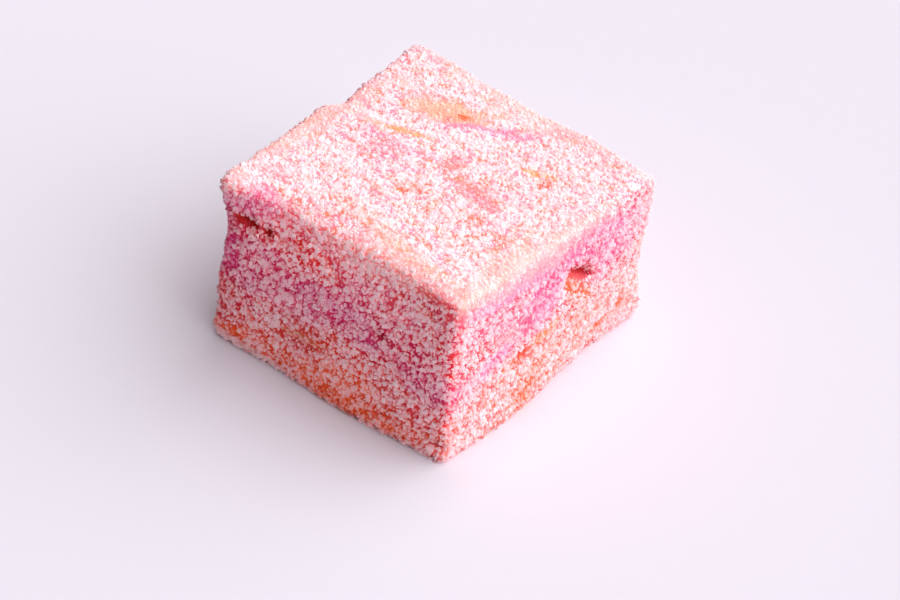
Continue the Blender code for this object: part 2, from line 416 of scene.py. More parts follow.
RIBBONS = {
    Face.FRONT: (
        Ribbon(20, 12.5, 24, 4, Dye.MAGENTA, 0.55, 2),
        Ribbon(19, 12.2, 6, 2.3, Dye.MAGENTA, 0.9, 14),
        Ribbon(29, 13, 6, 3.2, Dye.MAGENTA, 0.9, -14),
        Ribbon(7, 8.8, 6, 2.4, Dye.MAGENTA, 0.6),
        Ribbon(5, 15.6, 6, 3, Dye.MAGENTA, 0.7, 4),
        Ribbon(17, 16.4, 7, 1.8, Dye.LILAC, 0.6, 4),
        Ribbon(18.5, 20, 5.5, 4, Dye.CRIMSON, 0.5, bare=0.1),
        Ribbon(1.5, 20.5, 3.5, 6, Dye.CRIMSON, 0.55, bare=0.1),
        Ribbon(43, 16.4, 7, 3, Dye.MAGENTA, 0.7, -6),
        Ribbon(1.5, 10.5, 3.8, 8, Dye.MAGENTA, 1, bare=0.3),
        Ribbon(4.5, 2.6, 6, 2.2, Dye.MAGENTA, 0.8, deep=2),
        Ribbon(33, 12.6, 2, 1.6, Dye.CRIMSON, 0.5),
        # pale band under the upper edge: partly pale foam, partly painted light of the lit rim
        Ribbon(27, 2, 12, 2.6, Dye.CREAM, 0.45, bare=-0.6),
        # the two holes: crimson and deep red that are partly puree, partly painted shade inside
        # them
        Ribbon(5.2, 5.9, 3.1, 1.4, Dye.CRIMSON, 1, -8, bare=0.2),
        Ribbon(5.2, 6, 2.6, 1.1, Dye.CHERRY, 1, -8),
        Ribbon(4.4, 7.9, 5, 1.5, Dye.CRIMSON, 0.6),
        Ribbon(9.2, 6.3, 1.3, 1.5, Dye.CRIMSON, 0.95, bare=0.2),
        Ribbon(9.2, 6.3, 0.9, 1.1, Dye.CHERRY, 1),
        Ribbon(15, 6.2, 3.6, 2.4, Dye.CRIMSON, 0.3, 20),
        Ribbon(27, 8, 4, 2.2, Dye.MAGENTA, 0.5),
        Ribbon(33, 7, 10, 2, Dye.LILAC, 0.3, -4),
        Ribbon(25, 19.5, 13, 3, Dye.CORAL, 0.35, -2),
        Ribbon(18.5, 20.6, 4.6, 0.9, Dye.HONEY, 0.95, 6, bare=0.2),
        Ribbon(24, 23.6, 22, 2.6, Dye.CORAL, 0.45),
        Ribbon(27, 25, 7, 4, Dye.CORAL, 0.9),
        Ribbon(27, 27, 25, 2.7, Dye.CORAL, 0.8),
        Ribbon(3.5, 26.9, 5, 1, Dye.CORAL, 0.95, 8, bare=0.2),
        Ribbon(25, 27.8, 8, 1.8, Dye.CORAL, 1, bare=0.25),
        Ribbon(35, 26.6, 5, 1.8, Dye.CORAL, 1, -12, bare=0.15),
        Ribbon(36, 25.6, 6, 1.2, Dye.CRIMSON, 0.4, -12),
        Ribbon(45.3, 26.8, 2.2, 1.1, Dye.CRIMSON, 0.8, bare=0.2),
        # pale bands along the lower edge: partly pale sugar, partly painted light from below
        Ribbon(6, 29.2, 11, 1.1, Dye.CREAM, 0.9, -3, bare=-0.3),
        Ribbon(27, 30.2, 22, 0.9, Dye.CREAM, 0.9, bare=-0.3),
    ),
    Face.RIGHT: (
        Ribbon(37, 7.5, 11, 7, Dye.LILAC, 0.6),
        Ribbon(13, 7, 13, 4, Dye.LILAC, 0.35),
        Ribbon(20.5, 9.4, 7.5, 2.4, Dye.MAGENTA, 0.65, 46, bare=0.15),
        Ribbon(27, 6.2, 5.5, 2.4, Dye.MAGENTA, 0.5, 48, bare=0.1),
        Ribbon(24, 8, 10, 5, Dye.LILAC, 0.75, 42),
        Ribbon(24, 3, 18, 1.2, Dye.MAGENTA, 0.4),
        Ribbon(21, 3.2, 20, 2.3, Dye.LILAC, 1, bare=0.25),
        Ribbon(19, 3.4, 5, 2, Dye.LILAC, 0.75, bare=0.2),
        Ribbon(10.5, 15.6, 4.5, 2.3, Dye.LILAC, 0.85, 10),
        Ribbon(10.5, 15.6, 2, 1.2, Dye.MAGENTA, 0.45),
        Ribbon(3.5, 17, 5, 3.4, Dye.LILAC, 0.25, bare=-0.15),
        Ribbon(32.8, 7.2, 4.2, 2.8, Dye.MAGENTA, 0.65, 20, bare=0.1),
        Ribbon(42, 10.6, 6, 2.4, Dye.MAGENTA, 0.5),
        Ribbon(47.6, 13, 3, 1.6, Dye.CORAL, 0.85),
        Ribbon(48.8, 23, 3.4, 9, Dye.CREAM, 0.3, bare=-0.6),
        Ribbon(13.5, 12, 6, 3.2, Dye.ROSE, 0.8, -30, bare=0.1),
        Ribbon(35, 23, 18, 7.5, Dye.PEACH, 0.45),
        Ribbon(12, 24, 14, 6.5, Dye.PEACH, 0.35),
        Ribbon(32, 14.4, 4.4, 2.4, Dye.CORAL, 0.8, -30),
        Ribbon(31.6, 21, 1.6, 4.2, Dye.CORAL, 0.75),
        Ribbon(22.5, 22, 3.4, 2.4, Dye.CORAL, 0.6),
        Ribbon(34, 12.4, 3.6, 2.6, Dye.ROSE, 0.6),
        Ribbon(22.5, 12.6, 3, 2.4, Dye.ROSE, 0.9, bare=0.2),
        Ribbon(48.5, 5, 3, 5, Dye.CREAM, 0.3, bare=-0.5),
        Ribbon(18.8, 26.2, 4.2, 4, Dye.CORAL, 0.95, bare=0.1),
        Ribbon(27.2, 27.6, 2.4, 3, Dye.CORAL, 0.85),
        Ribbon(38, 25.6, 1.6, 1.3, Dye.CORAL, 0.9, 20, bare=0.3),
        Ribbon(43.2, 23.8, 1.7, 1.1, Dye.CORAL, 0.9, bare=0.35),
        Ribbon(14.2, 19.4, 2.2, 1, Dye.CORAL, 0.6, 20),
        Ribbon(15, 29.4, 12, 1.3, Dye.CORAL, 0.6),
        Ribbon(1.5, 28, 3, 2.6, Dye.CREAM, 0.3, bare=-0.5),
        Ribbon(31, 29.6, 2.2, 1, Dye.CRIMSON, 0.8),
        Ribbon(29.8, 12.4, 3.4, 1, Dye.CORAL, 1, -40, bare=0.3),
        # dark crescent under the crater's upper rim: painted shade of the overhang, over the
        # puree's red
        Ribbon(31.4, 10, 5, 1.6, Dye.CRIMSON, 0.9, -30, bare=0.3),
        Ribbon(31.2, 10.2, 4.4, 1.3, Dye.CHERRY, 0.95, -30),
        Ribbon(17.2, 18.6, 1.8, 1.2, Dye.CORAL, 1, 40, bare=0.8),
        Ribbon(23, 17.2, 4.6, 1.4, Dye.HONEY, 0.6, 16, bare=0.15),
        Ribbon(17, 0.3, 17, 1.1, Dye.PEACH, 0.5, bare=0.15),
        Ribbon(16, 0.1, 18, 0.8, Dye.CREAM, 0.6, bare=0.15),
    ),
    Face.TOP: (
        Ribbon(15.2, 11.6, 7.8, 3.4, Dye.PEACH, 1, 14, bare=0.5),
        Ribbon(15.1, 12.1, 5.6, 2, Dye.ROSE, 0.3, 18, bare=0.15),
        Ribbon(20.7, 9.9, 2.6, 1.2, Dye.PEACH, 0.9, 16, bare=0.2),
        Ribbon(18.5, 10.5, 1, 0.8, Dye.CORAL, 0.9, 12, bare=0.3),
        Ribbon(16.8, 12.5, 0.9, 0.6, Dye.CRIMSON, 0.7, 30, bare=0.2),
        Ribbon(21.2, 5.4, 2.8, 2.6, Dye.PEACH, 0.6),
        Ribbon(20, 12.7, 4.6, 1.5, Dye.LILAC, 0.65, 36, bare=0.3),
        Ribbon(26.9, 8.4, 5, 1.8, Dye.LILAC, 0.6, 34, bare=0.35),
        Ribbon(31.6, 2.4, 4, 1.8, Dye.LILAC, 0.45, 40, bare=0.25),
        Ribbon(13.5, 21, 7, 0.9, Dye.HONEY, 0.85, 20, bare=0.6),
        Ribbon(5.9, 22.7, 5, 0.9, Dye.CREAM, 0.7, 12, bare=0.5),
        Ribbon(36, 13.3, 3.6, 0.9, Dye.HONEY, 1, 18, bare=0.35),
        Ribbon(38.1, 14.9, 0.9, 2.2, Dye.CORAL, 0.8, 20, bare=0.25),
        Ribbon(42.5, 4.9, 2.8, 1, Dye.ROSE, 0.6, -6, bare=0.15),
        Ribbon(32.9, 25.1, 7.4, 2.4, Dye.ROSE, 0.6, -10, bare=0.45),
        Ribbon(25, 21, 2.2, 3.8, Dye.ROSE, 0.55, -30, bare=0.45),
        Ribbon(14.5, 25.9, 4, 2.4, Dye.ROSE, 0.5, 10, bare=0.2),
        Ribbon(12.1, 29.9, 4.4, 2, Dye.ROSE, 0.35, 20, bare=0.15),
        Ribbon(14.5, 26.5, 9, 5, Dye.LILAC, 0.2, bare=0.05),
        Ribbon(31, 32.5, 14, 3.5, Dye.CORAL, 0.15, -10, bare=0.05),
        Ribbon(36.5, 30.3, 1.9, 1.2, Dye.CORAL, 0.75, -10, bare=0.2),
        Ribbon(42.5, 31.4, 3, 1, Dye.CORAL, 0.55, -8, bare=0.2),
        Ribbon(29.1, 31.7, 1, 1.8, Dye.HONEY, 0.7, bare=0.2),
        Ribbon(24, 31.2, 3, 1.4, Dye.CORAL, 0.6, 20),
        Ribbon(19.9, 36.1, 5, 1.2, Dye.ROSE, 0.5, -24, bare=0.1),
        Ribbon(44.5, 38.4, 2.6, 1.6, Dye.ROSE, 0.6),
        Ribbon(20.5, 41.8, 5, 1.5, Dye.CORAL, 0.4, -8),
        Ribbon(26, 42.2, 10, 2, Dye.PEACH, 0.5, -8, bare=0.05),
        Ribbon(38, 44.6, 12, 1.6, Dye.PEACH, 0.4, -6, bare=0.3),
        Ribbon(38, 46.4, 13, 1.7, Dye.CREAM, 0.6, -5, bare=0.3),
        Ribbon(5.5, 43.4, 4, 2.2, Dye.ROSE, 0.8, 30, bare=0.1),
        Ribbon(2, 48, 3.6, 2.4, Dye.CREAM, 0.7, 10),
        # rose and lilac where the top rolls over into the front: partly dye, partly painted shade
        Ribbon(9.5, 48.4, 7, 2.6, Dye.ROSE, 0.8, bare=0.1),
        Ribbon(8.5, 48.6, 6, 2.2, Dye.LILAC, 0.55),
        Ribbon(27, 48.6, 14, 1.3, Dye.LILAC, 0.5, bare=0.3),
        Ribbon(32.5, 12, 18, 2.4, Dye.CREAM, 0, 14, bare=-0.6),
        Ribbon(21.5, 15.9, 7, 1.6, Dye.CREAM, 0, 24, bare=-0.35),
        Ribbon(41, 8, 9, 4, Dye.CREAM, 0, -6, bare=-0.7),
        Ribbon(32, 18, 9, 3.4, Dye.CREAM, 0, 6, bare=-0.6),
        Ribbon(7.1, 33.4, 8, 3.4, Dye.CREAM, 0, -4, bare=-0.5),
        Ribbon(21.5, 39.5, 8, 1.4, Dye.CREAM, 0, -22, bare=-0.5),
        Ribbon(43.3, 23.8, 6, 5, Dye.CREAM, 0, 60, bare=-0.3),
        Ribbon(43.3, 42.8, 7, 3, Dye.CREAM, 0, 10, bare=-0.35),
        Ribbon(10, 4, 9, 3.4, Dye.CREAM, 0, 10, bare=-0.5),
        Ribbon(27.5, 3, 3.4, 3, Dye.CREAM, 0.5, bare=-0.6),
        Ribbon(48.6, 30, 20, 1, Dye.PEACH, 0.5, 90, bare=0.1),
        Ribbon(48.9, 28, 22, 1.1, Dye.CREAM, 0.7, 90, bare=0.15),
        Ribbon(0.8, 34, 13, 1.4, Dye.CREAM, 0.5, 88, bare=0.3),
    ),
    Face.LEFT: (
        Ribbon(25, 15, 26, 4, Dye.MAGENTA, 0.7, 4),
        Ribbon(17, 10, 9, 2.2, Dye.MAGENTA, 0.85, -32, bare=0.4),
        Ribbon(36, 12, 7, 2.4, Dye.MAGENTA, 0.7, 14),
        Ribbon(40, 7, 7, 4, Dye.LILAC, 0.7, 10),
        Ribbon(10, 4, 7, 2.4, Dye.LILAC, 0.6, -8),
        Ribbon(9.2, 7.6, 3.4, 1.8, Dye.CRIMSON, 0.95, 20, bare=0.6),
        Ribbon(10, 10, 3.4, 1.4, Dye.CORAL, 0.9, 15, bare=0.4),
        Ribbon(33, 20.4, 6, 1.1, Dye.HONEY, 0.85, -6, bare=0.2),
        Ribbon(24, 22.5, 20, 2.8, Dye.CORAL, 0.45, 2),
        Ribbon(26, 27, 28, 2.8, Dye.CORAL, 0.85),
        Ribbon(13, 26.5, 6, 2.2, Dye.CORAL, 0.8, bare=0.25),
        Ribbon(38, 27.4, 7, 1.6, Dye.CORAL, 0.9, 4, bare=0.3),
        Ribbon(28, 3.5, 10, 2.4, Dye.PEACH, 0.6, 4, bare=0.2),
        Ribbon(30, 0.4, 20, 1.2, Dye.CREAM, 0.7, bare=0.45),
    ),
    Face.BACK: (
        Ribbon(25, 8, 26, 5, Dye.LILAC, 0.5, -3),
        Ribbon(34, 12, 11, 2.4, Dye.MAGENTA, 0.85, 22, bare=0.4),
        Ribbon(20, 14, 10, 2, Dye.MAGENTA, 0.6, -6),
        Ribbon(11, 7, 6, 2.4, Dye.MAGENTA, 0.6, -12),
        Ribbon(12.4, 10.8, 3, 1.4, Dye.CRIMSON, 0.95, 12, bare=0.6),
        Ribbon(12.6, 13.2, 2.8, 1.1, Dye.CORAL, 0.95, bare=0.4),
        Ribbon(24, 18.5, 6, 1, Dye.HONEY, 0.85, 12, bare=0.25),
        Ribbon(25, 22.5, 26, 6, Dye.PEACH, 0.45),
        Ribbon(16, 25.5, 5, 3.2, Dye.CORAL, 0.75),
        Ribbon(33, 22, 1.8, 4, Dye.CORAL, 0.7, 12),
        Ribbon(41, 25, 3.4, 1.8, Dye.CORAL, 0.9, 10, bare=0.25),
        Ribbon(25, 29.2, 25, 1.6, Dye.CORAL, 0.75),
        Ribbon(26, 0.4, 24, 1.3, Dye.CREAM, 0.7, bare=0.45),
    ),
    Face.BASE: (
        Ribbon(24, 26, 24, 20, Dye.CORAL, 0.4),
        Ribbon(16, 16, 12, 3, Dye.PEACH, 0.8, 20, bare=0.3),
        Ribbon(32, 34, 14, 3.4, Dye.MAGENTA, 0.5, 28),
        Ribbon(20, 42, 10, 2.4, Dye.HONEY, 0.6, -12, bare=0.3),
    ),
}


@dataclass
class Swirl:
    """The pour: purees folded into the foam in ribbons, which show where the block was cut."""

    block: Block
    wander: float = 1.1  # how far a ribbon's outline strays
    wander_spacing: float = 3.6
    mottle: float = 0.5  # how much more or less dye there is in patches inside a ribbon
    mottle_spacing: float = 2.1

    def ribbons(self, points: np.ndarray) -> Iterator[tuple[Ribbon, np.ndarray]]:
        """Goes through the ribbons.

        Args:
            points: Places in millimetres, one row each.

        Returns:
            Each ribbon, with how fully each point lies in it.
        """
        ways = [noise_at(points, self.wander_spacing, seed) for seed in (1, 2, 3)]
        wander = self.wander * np.stack(ways, 1)
        for face, ribbons in RIBBONS.items():
            for ribbon in ribbons:
                yield ribbon, ribbon.weight(self.block.faces[face], points, wander)

    def dyes(self, points: np.ndarray) -> dict[Dye, np.ndarray]:
        """Finds the dye at each point.

        Args:
            points: Places in millimetres, one row each.

        Returns:
            How much of each dye each point has, from 0 to 1.
        """
        patches = 1.0 + self.mottle * noise_at(points, self.mottle_spacing, 4)
        found = {dye: np.zeros(len(points)) for dye in Dye}
        for ribbon, weight in self.ribbons(points):
            found[ribbon.dye] = 1.0 - (1.0 - found[ribbon.dye]) * (1.0 - ribbon.strength * weight)
        return {dye: np.clip(amount * patches, 0, 1) for dye, amount in found.items()}

    def bareness(self, points: np.ndarray) -> np.ndarray:
        """Finds how thinly the sugar lies at each point.

        Args:
            points: Places in millimetres, one row each.

        Returns:
            One value for each point: 1 is no sugar, and below 0 is a drift.
        """
        covered = np.ones(len(points))
        for ribbon, weight in self.ribbons(points):
            covered *= 1.0 - ribbon.bare * weight
        return 1.0 - covered

    def stain(
        self, mesh: bpy.types.Mesh, places: np.ndarray, normals: np.ndarray, repeat: int = 1
    ) -> np.ndarray:
        """Stores the dyes on a mesh.

        Args:
            mesh: The mesh whose vertices take the dyes.
            places: Where each vertex, or each group of vertices, reads the swirl.
            normals: Which way the skin faces there.
            repeat: How many vertices share each place.

        Returns:
            How strong the strongest dye is at each place.
        """
        dyes = self.dyes(places)
        for dye, amount in dyes.items():
            write_values(mesh, dye.channel, np.repeat(amount, repeat))
        write_values(mesh, CUT, np.repeat(cut_share(normals), repeat))
        return np.max(list(dyes.values()), 0)


def ground_colour(
    tree: bpy.types.NodeTree, finish: "WhippedFoam | CaneSugar"
) -> bpy.types.NodeSocket:
    """The colour between the ribbons: paler on top, deeper on the cut sides, and never even.

    The orange and the pink puree are stirred in but not mixed, so specks of both show.

    Args:
        tree: The material's nodes.
        finish: The finish that says which colours the specks have.

    Returns:
        The socket with the colour.
    """
    place = add_node(tree, "ShaderNodeTexCoord").outputs["Object"]
    speckle = {"Vector": place, "Scale": 1.0 / (SPECK_SPACING * MM), "Detail": 2.0}
    specks = add_node(tree, "ShaderNodeTexNoise", speckle).outputs[0]
    ends = {"Value": specks, "From Min": 0.36, "From Max": 0.6}
    share = add_node(tree, "ShaderNodeMapRange", ends).outputs[0]
    cut = add_node(tree, "ShaderNodeAttribute", attribute_name=CUT).outputs["Fac"]
    shades = []
    for warm, cool in (finish.grounds, finish.cut_grounds):
        pair = {MIX_FACTOR: share, MIX_A: linear(warm), MIX_B: linear(cool)}
        shades.append(add_node(tree, "ShaderNodeMix", pair, data_type="RGBA").outputs[MIX_OUT])
    both = {MIX_FACTOR: cut, MIX_A: shades[0], MIX_B: shades[1]}
    return add_node(tree, "ShaderNodeMix", both, data_type="RGBA").outputs[MIX_OUT]


def dyed_colour(
    tree: bpy.types.NodeTree, ground: bpy.types.NodeSocket, streaks: bpy.types.NodeSocket | float
) -> bpy.types.NodeSocket:
    """Lays each dye over the ground colour, as much of it as the mesh keeps there.

    Args:
        tree: The material's nodes.
        ground: The colour between the ribbons.
        streaks: Fine streaks from 0 to 1, which thin each dye where they are low.

    Returns:
        The socket with the colour.
    """
    colour = ground
    for dye in Dye:
        amount = add_node(tree, "ShaderNodeAttribute", attribute_name=dye.channel).outputs["Fac"]
        factors = {0: amount, 1: streaks}
        share = add_node(tree, "ShaderNodeMath", factors, operation="MULTIPLY", use_clamp=True)
        layers = {MIX_FACTOR: share.outputs[0], MIX_A: colour, MIX_B: linear(dye.value)}
        colour = add_node(tree, "ShaderNodeMix", layers, data_type="RGBA").outputs[MIX_OUT]
    return colour


@dataclass(frozen=True)
class WhippedFoam:
    """Set marshmallow: sugar syrup and puree whipped with gelatine, poured, and cut when firm.

    It is a closed foam of fine bubbles, so light goes in and comes out nearby: its shadows glow
    and its edges look soft. The knife drags the skin into fine fibres and opens small pores.
    """

    name: str = "whipped_gelatine_foam"
    grounds: tuple[str, str] = ("#FF8462", "#FF8CA4")  # on top, where the pour dried pale
    cut_grounds: tuple[str, str] = ("#FA2E1C", "#EA1848")  # where the knife laid the puree open
    pale: str = "#FFE9DF"  # foam with little puree in it
    paleness: float = 0.03  # how much of it shows on the rims of the pores
    streaks: tuple[float, float] = (0.72, 1.1)  # how strong the dye is between and on the fibres
    roughness: float = 0.58
    ior: float = 1.45
    specular: float = 0.15
    light_depth: float = 2.4  # how far red light travels inside, in mm
    light_reach: tuple[float, float, float] = (1.0, 0.25, 0.25)  # red, green and blue
    light_share: float = 0.8
    fibre: float = 0.35  # width of a drawn fibre, in mm
    fibre_stretch: float = 6.0
    pore: float = 0.30  # width of a bubble that the knife opened, in mm, coarse enough to show
    pore_depth: float = 0.10

    def material(self) -> bpy.types.Material:
        """Builds the foam's material.

        Returns:
            The material, which reads the dyes that the mesh keeps.
        """
        sockets = {
            "Roughness": self.roughness,
            "IOR": self.ior,
            "Specular IOR Level": self.specular,
            "Subsurface Weight": self.light_share,
            "Subsurface Radius": self.light_reach,
            "Subsurface Scale": self.light_depth * MM,
        }
        material, surface = new_material(self.name, sockets)
        tree = material.node_tree
        place = add_node(tree, "ShaderNodeTexCoord").outputs["Object"]
        drawn = {"Vector": place, "Scale": (1.0 / self.fibre_stretch, 1.0, 1.0)}
        along = add_node(tree, "ShaderNodeMapping", drawn).outputs[0]
        noise_inputs = {"Vector": along, "Scale": 1.0 / (self.fibre * MM), "Detail": 3.0}
        fibres = add_node(tree, "ShaderNodeTexNoise", noise_inputs).outputs[0]
        thin, thick = self.streaks
        ends = {"From Min": 0.3, "From Max": 0.62, "To Min": thin, "To Max": thick}
        streaks = add_node(tree, "ShaderNodeMapRange", {"Value": fibres} | ends).outputs[0]
        colour = dyed_colour(tree, ground_colour(tree, self), streaks)
        cells = {"Vector": place, "Scale": 1.0 / (self.pore * MM)}
        pores = add_node(tree, "ShaderNodeTexVoronoi", cells).outputs["Distance"]
        ends = {"From Min": 0.1, "From Max": 0.6}
        rims = add_node(tree, "ShaderNodeMapRange", {"Value": pores} | ends).outputs[0]
        share = {0: rims, 1: self.paleness}
        paler = add_node(tree, "ShaderNodeMath", share, operation="MULTIPLY").outputs[0]
        both = {MIX_FACTOR: paler, MIX_A: colour, MIX_B: linear(self.pale)}
        skin = add_node(tree, "ShaderNodeMix", both, data_type="RGBA").outputs[MIX_OUT]
        relief = add_node(tree, "ShaderNodeMath", {0: rims, 1: fibres}, operation="ADD").outputs[0]
        heights = {"Height": relief, "Distance": self.pore_depth * MM, "Strength": 0.6}
        bump = add_node(tree, "ShaderNodeBump", heights).outputs[0]
        tree.links.new(skin, surface.inputs["Base Color"])
        tree.links.new(bump, surface.inputs["Normal"])
        return material


@dataclass(frozen=True)
class CaneSugar:
    """Granulated sugar: crystals boiled out of cane syrup, sieved, and stuck to the damp foam.

    Each crystal is clear, but small and scratched from tumbling, so it scatters light and looks
    white. Where it sits in the foam it takes up some dye, and its colour also has painted into it
    the pink light that the foam would send back through it.
    """

    name: str = "granulated_cane_sugar"
    # a pink-tinted white: the pink is painted light from the dyed foam
    white: str = "#FFE2E7"
    grounds: tuple[str, str] = ("#FF8A6E", "#FF90A4")
    cut_grounds: tuple[str, str] = ("#FA321E", "#EA1E4C")
    roughness: float = 0.45
    ior: float = 1.54
    light_depth: float = 0.4  # how far light travels inside, in mm
    light_reach: tuple[float, float, float] = (1.0, 0.95, 0.95)  # red, green and blue
    light_share: float = 0.2

    def material(self) -> bpy.types.Material:
        """Builds the crystals' material.

        Returns:
            The material, which reads the dyes that the mesh keeps.
        """
        sockets = {
            "Roughness": self.roughness,
            "IOR": self.ior,
            "Subsurface Weight": self.light_share,
            "Subsurface Radius": self.light_reach,
            "Subsurface Scale": self.light_depth * MM,
        }
        material, surface = new_material(self.name, sockets)
        tree = material.node_tree
        # the foam's colour, which each crystal mixes in as dye and as painted pink light
        syrup = dyed_colour(tree, ground_colour(tree, self), 1.0)
        taken_up = add_node(tree, "ShaderNodeAttribute", attribute_name=DYE_AND_BOUNCE).outputs["Fac"]
        both = {MIX_FACTOR: taken_up, MIX_A: linear(self.white), MIX_B: syrup}
        crystal = add_node(tree, "ShaderNodeMix", both, data_type="RGBA").outputs[MIX_OUT]
        tree.links.new(crystal, surface.inputs["Base Color"])
        return material


HOLE_END = 1.12  # where a hole's rim meets the skin, with its size as 1
HOLE_SLOPE = 0.3  # how wide its walls are, as a share of its size
HOLE_REACH = 6.0  # how far from the face the skin still belongs to a hole in it
DENT_FLOOR, DENT_FADE = 7.0, 5.0  # how deep a dent is felt, and over what depth it fades


@dataclass(frozen=True)
class Hollow:
    """A hollow in a face of the block: where it is, how far it reaches, and how deep it goes."""

    face: Face
    across: float
    down: float
    long: float
    wide: float
    depth: float
    turn: float = 0.0

    def local(self, block: Block, points: np.ndarray) -> np.ndarray:
        """For each point, how far it lies along the hollow, across it, and outwards."""
        return block.faces[self.face].local(points, self.across, self.down, self.turn)


@dataclass(frozen=True)
class Burst(Hollow):
    """A bubble that burst at the skin and left a hole with a ragged rim."""

    undercut: float = 0.0  # how far its floor lies up behind its upper rim

    def inside(self, block: Block, points: np.ndarray, ragged: np.ndarray) -> np.ndarray:
        """How far inside the hole's rim each point lies, from 0 outside to 1 on the floor.

        Args:
            block: The block whose face the hole is in.
            points: Places in millimetres, one row each.
            ragged: How far the rim strays at each point, as a share of its size.

        Returns:
            One value for each point.
        """
        place = self.local(block, points)
        rim = np.hypot(place[:, 0] / self.long, place[:, 1] / self.wide) + ragged
        near = np.abs(place[:, 2]) < HOLE_REACH
        return near * smooth_step((HOLE_END - rim) / HOLE_SLOPE)

    def push(self, block: Block) -> np.ndarray:
        """How far the floor of the hole moves from where the skin was."""
        sheet = block.faces[self.face]
        return -self.depth * sheet.outwards - self.undercut * sheet.downwards


@dataclass(frozen=True)
class Dent(Hollow):
    """A soft hollow or a worn edge, where the block sagged or was handled."""

    def push(self, block: Block, points: np.ndarray) -> np.ndarray:
        """Finds how far the skin moves to make the dent.

        Args:
            block: The block whose face the dent is in.
            points: Places in millimetres, one row each.

        Returns:
            The move of each point.
        """
        place = self.local(block, points)
        gap = (place[:, 0] / self.long) ** 4 + (place[:, 1] / self.wide) ** 2
        near = smooth_step((DENT_FLOOR + place[:, 2]) / DENT_FADE)
        return (near * np.exp(-gap))[:, None] * (-self.depth * block.faces[self.face].outwards)


BURSTS = (
    Burst(Face.RIGHT, 31.2, 10.8, 4.2, 1.3, 1.6, -30, undercut=0.6),
    Burst(Face.RIGHT, 17.4, 18.4, 1.4, 0.9, 1.6, 50),
    Burst(Face.RIGHT, 38.2, 25.6, 0.8, 0.6, 0.8),
    Burst(Face.FRONT, 5.2, 5.9, 2.1, 0.8, 1.5, -8, undercut=0.3),
    Burst(Face.FRONT, 9.2, 6.3, 0.7, 1.0, 1.3),
    Burst(Face.FRONT, 22.3, 6.3, 0.55, 0.55, 0.9),
    Burst(Face.FRONT, 19.8, 6.8, 0.5, 0.5, 0.8),
    Burst(Face.FRONT, 33.2, 12.5, 0.9, 0.8, 1.2),
    Burst(Face.FRONT, 45.2, 27.0, 1.4, 0.5, 1.0, 5),
    Burst(Face.FRONT, 5.0, 25.2, 0.5, 0.5, 0.8),
    Burst(Face.FRONT, 10.3, 25.4, 0.5, 0.5, 0.8),
    Burst(Face.LEFT, 9.2, 7.8, 2.8, 1.4, 1.8, 18, undercut=0.4),
    Burst(Face.LEFT, 37.0, 19.0, 1.0, 0.6, 1.1, -30),
    Burst(Face.BACK, 12.2, 11.2, 2.4, 1.3, 1.8, 10, undercut=0.4),
    Burst(Face.BACK, 37.5, 21.0, 0.8, 0.9, 1.0),
    Burst(Face.BACK, 29.0, 6.0, 1.2, 0.5, 0.9, -20),
)

DENTS = (
    Dent(Face.FRONT, 23.5, -4.0, 20.0, 12.0, 3.4),
    Dent(Face.FRONT, 3.5, 1.6, 6.0, 2.6, -1.1),
    Dent(Face.TOP, 26.0, 50.5, 16.0, 3.0, 0.5),
    Dent(Face.TOP, 6.0, 48.5, 8.0, 4.5, -1.9),
    Dent(Face.LEFT, 53.0, 3.0, 9.0, 9.0, 1.0),
)


